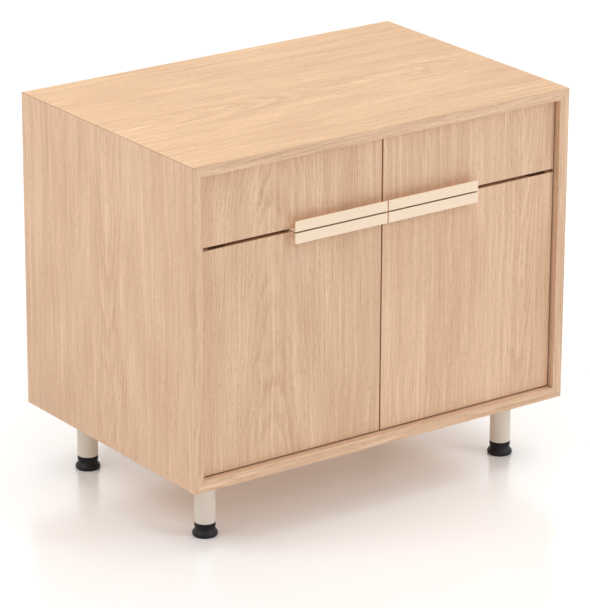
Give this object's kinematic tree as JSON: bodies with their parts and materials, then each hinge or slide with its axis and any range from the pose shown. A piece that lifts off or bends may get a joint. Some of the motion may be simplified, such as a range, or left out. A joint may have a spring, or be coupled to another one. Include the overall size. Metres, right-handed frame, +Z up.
{
  "type": "nightstand",
  "caption": "Low wooden nightstand on round metal legs with levelling feet; a mitred case holds inset drawers above inset doors with angle edge pulls.",
  "frame": {"origin": "on the floor under the centre of the whole object's bounding box, pulls included", "axes": "+X to the viewer's right along the width, +Y from the fronts to the back, +Z up"},
  "size_m": [0.762, 0.5096, 0.665],
  "materials": {
    "oak_veneer": "pale oak veneer, matt lacquer",
    "back_board": "thin veneered board",
    "drawer_board": "pale birch ply, clear lacquer",
    "cream_metal": "satin cream paint",
    "leg_paint": "satin warm grey paint",
    "foot_plastic": "moulded, slightly glossy",
    "zinc_steel": "zinc plated sheet",
    "stud_steel": "zinc plated thread",
    "pin_steel": "nickel plated",
    "screw_steel": "zinc plated",
    "ball_steel": "steel balls in a strip",
    "catch_plastic": "moulded housing"
  },
  "bodies": {
    "case": {"top_panel": "oak_veneer", "bottom_panel": "oak_veneer", "left_side_panel": "oak_veneer", "right_side_panel": "oak_veneer", "back_panel": "back_board", "drawer_deck": "oak_veneer", "centre_partition": "oak_veneer", "left_shelf": "oak_veneer", "right_shelf": "oak_veneer", "shelf_pins": "pin_steel", "slide_case_rails": "zinc_steel", "door_pivot_plates": "zinc_steel", "door_catches": "catch_plastic", "case_screws": "screw_steel", "front_left_leg": "leg_paint", "front_right_leg": "leg_paint", "back_left_leg": "leg_paint", "back_right_leg": "leg_paint", "leg_screws": "screw_steel"},
    "left_drawer": {"left_drawer_front": "oak_veneer", "left_drawer_box_front": "drawer_board", "left_drawer_box_back": "drawer_board", "left_drawer_box_outer_side": "drawer_board", "left_drawer_box_inner_side": "drawer_board", "left_drawer_box_bottom": "drawer_board", "left_drawer_pull": "cream_metal", "left_drawer_slide_rails": "zinc_steel", "left_drawer_screws": "screw_steel"},
    "left_drawer_slide_middle": {"left_drawer_middle_rails": "zinc_steel", "left_drawer_ball_strips": "ball_steel"},
    "left_door": {"left_door": "oak_veneer", "left_door_pull": "cream_metal", "left_door_pivot_leaves": "zinc_steel", "left_door_strike_plate": "zinc_steel", "left_door_screws": "screw_steel"},
    "right_drawer": {"right_drawer_front": "oak_veneer", "right_drawer_box_front": "drawer_board", "right_drawer_box_back": "drawer_board", "right_drawer_box_outer_side": "drawer_board", "right_drawer_box_inner_side": "drawer_board", "right_drawer_box_bottom": "drawer_board", "right_drawer_pull": "cream_metal", "right_drawer_slide_rails": "zinc_steel", "right_drawer_screws": "screw_steel"},
    "right_drawer_slide_middle": {"right_drawer_middle_rails": "zinc_steel", "right_drawer_ball_strips": "ball_steel"},
    "right_door": {"right_door": "oak_veneer", "right_door_pull": "cream_metal", "right_door_pivot_leaves": "zinc_steel", "right_door_strike_plate": "zinc_steel", "right_door_screws": "screw_steel"},
    "front_left_leveller": {"front_left_foot": "foot_plastic", "front_left_foot_stud": "stud_steel"},
    "front_right_leveller": {"front_right_foot": "foot_plastic", "front_right_foot_stud": "stud_steel"},
    "back_left_leveller": {"back_left_foot": "foot_plastic", "back_left_foot_stud": "stud_steel"},
    "back_right_leveller": {"back_right_foot": "foot_plastic", "back_right_foot_stud": "stud_steel"}
  },
  "joints": [
    {"name": "left_drawer_slide", "type": "slide", "parent": "case", "child": "left_drawer", "axis": [0, -1, 0], "range_m": [0, 0.4]},
    {"name": "left_drawer_middle_slide", "type": "slide", "parent": "case", "child": "left_drawer_slide_middle", "axis": [0, -1, 0], "range_m": [0, 0.2]},
    {"name": "left_door_hinge", "type": "hinge", "parent": "case", "child": "left_door", "pos_m": [-0.3505, -0.23325, 0.134], "axis": [0, 0, -1], "range_deg": [0, 105]},
    {"name": "right_drawer_slide", "type": "slide", "parent": "case", "child": "right_drawer", "axis": [0, -1, 0], "range_m": [0, 0.4]},
    {"name": "right_drawer_middle_slide", "type": "slide", "parent": "case", "child": "right_drawer_slide_middle", "axis": [0, -1, 0], "range_m": [0, 0.2]},
    {"name": "right_door_hinge", "type": "hinge", "parent": "case", "child": "right_door", "pos_m": [0.3505, -0.23325, 0.134], "axis": [0, 0, 1], "range_deg": [0, 105]},
    {"name": "front_left_foot_height", "type": "slide", "parent": "case", "child": "front_left_leveller", "axis": [0, 0, -1], "range_m": [0, 0.012]},
    {"name": "front_right_foot_height", "type": "slide", "parent": "case", "child": "front_right_leveller", "axis": [0, 0, -1], "range_m": [0, 0.012]},
    {"name": "back_left_foot_height", "type": "slide", "parent": "case", "child": "back_left_leveller", "axis": [0, 0, -1], "range_m": [0, 0.012]},
    {"name": "back_right_foot_height", "type": "slide", "parent": "case", "child": "back_right_leveller", "axis": [0, 0, -1], "range_m": [0, 0.012]}
  ],
  "couplings": [
    {"joint": "left_drawer_middle_slide", "follows": "left_drawer_slide", "ratio": 0.5},
    {"joint": "right_drawer_middle_slide", "follows": "right_drawer_slide", "ratio": 0.5}
  ]
}
